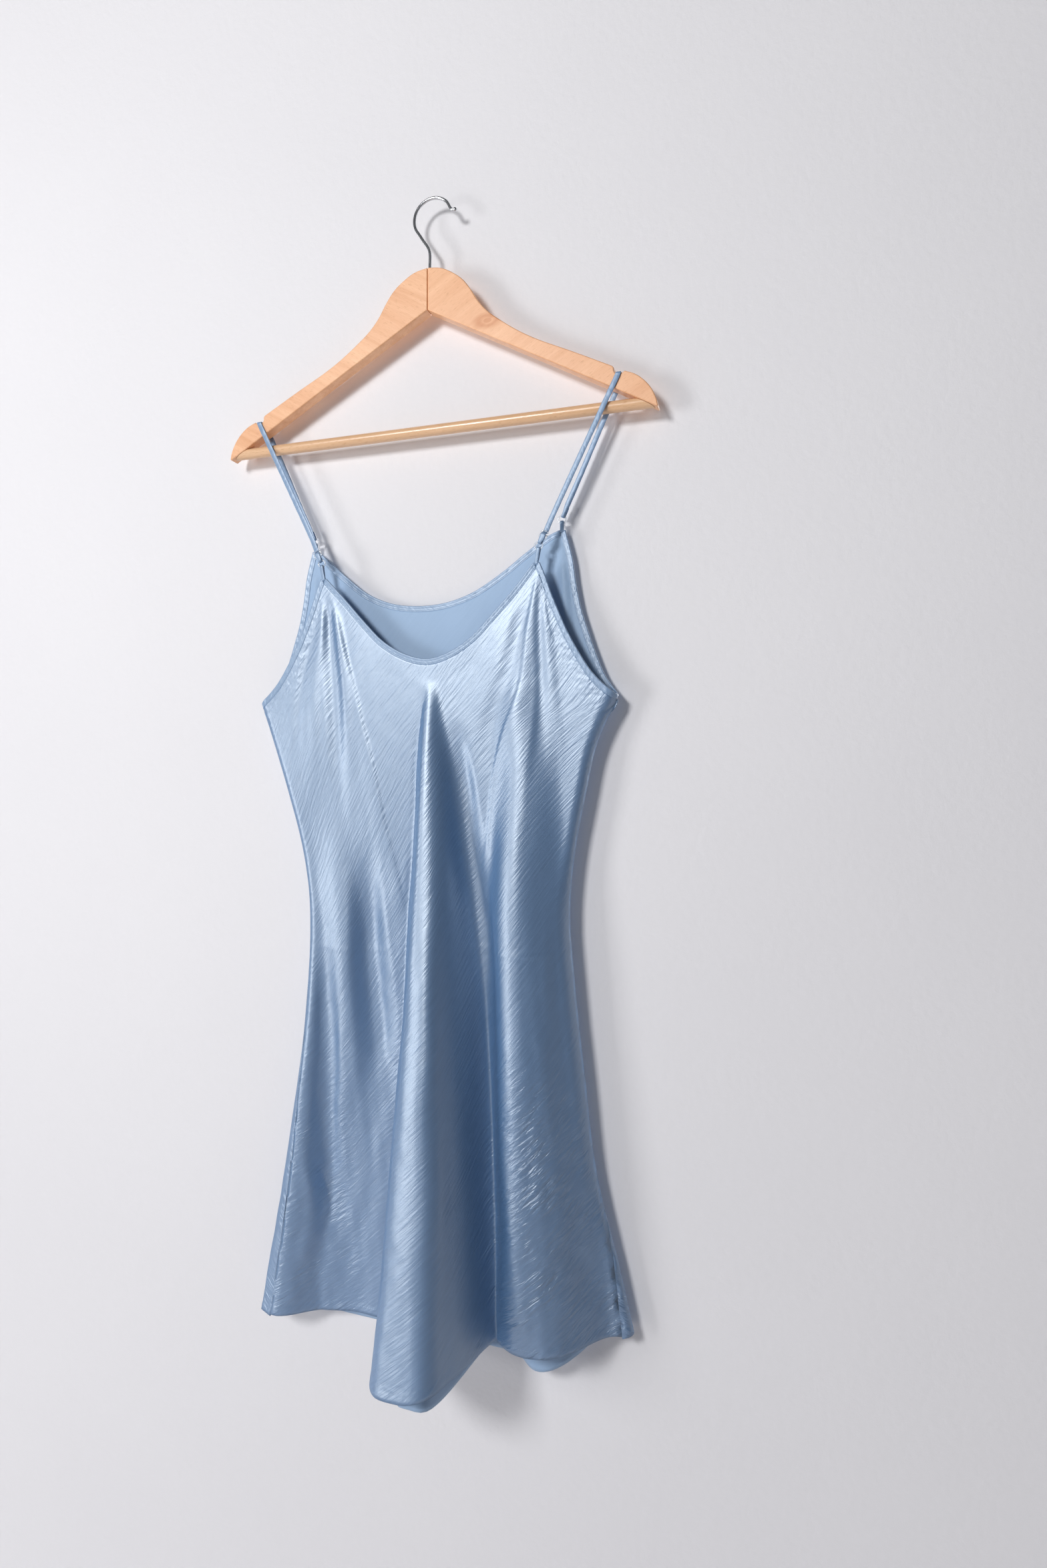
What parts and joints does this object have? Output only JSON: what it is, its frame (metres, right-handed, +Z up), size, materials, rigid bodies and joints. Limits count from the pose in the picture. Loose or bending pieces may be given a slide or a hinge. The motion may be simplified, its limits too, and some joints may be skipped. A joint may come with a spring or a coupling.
{
  "type": "slip dress on a wooden hanger",
  "caption": "Pale blue bias-cut satin slip dress with thin adjustable straps, hung flat on a notched wooden hanger with a metal hook.",
  "frame": {"origin": "bearing point inside the crown of the hook, straight above its stem, where a rail or nail carries the hanger", "axes": "+X to the right as the dress is seen from the front, +Y away from the viewer towards the wall behind, +Z up; left and right in the node names are the viewer's"},
  "size_m": [0.444, 0.1268, 1.109],
  "materials": {
    "satin": "light steel-blue satin outside, duller blue inside",
    "binding": "satin bias binding of the same cloth, topstitched",
    "strap": "flat turned satin strap",
    "clear_plastic": "clear moulded plastic",
    "wood": "pale beech, lightly varnished",
    "bar_wood": "honey varnished dowel",
    "chrome": "bright plated wire"
  },
  "bodies": {
    "root": {"dress_front": "satin", "dress_back": "satin", "neck_binding_front": "binding", "neck_binding_back": "binding", "armhole_binding_left": "binding", "armhole_binding_right": "binding", "strap_left": "strap", "strap_right": "strap", "strap_loop_front_left": "binding", "strap_loop_front_right": "binding", "strap_loop_back_left": "binding", "strap_loop_back_right": "binding", "strap_ring_front_left": "clear_plastic", "strap_ring_front_right": "clear_plastic", "strap_ring_back_left": "clear_plastic", "strap_ring_back_right": "clear_plastic", "strap_slider_left": "clear_plastic", "strap_slider_right": "clear_plastic", "hanger_arm_left": "wood", "hanger_arm_right": "wood", "hanger_bar": "bar_wood", "hanger_hook": "chrome"}
  },
  "joints": []
}
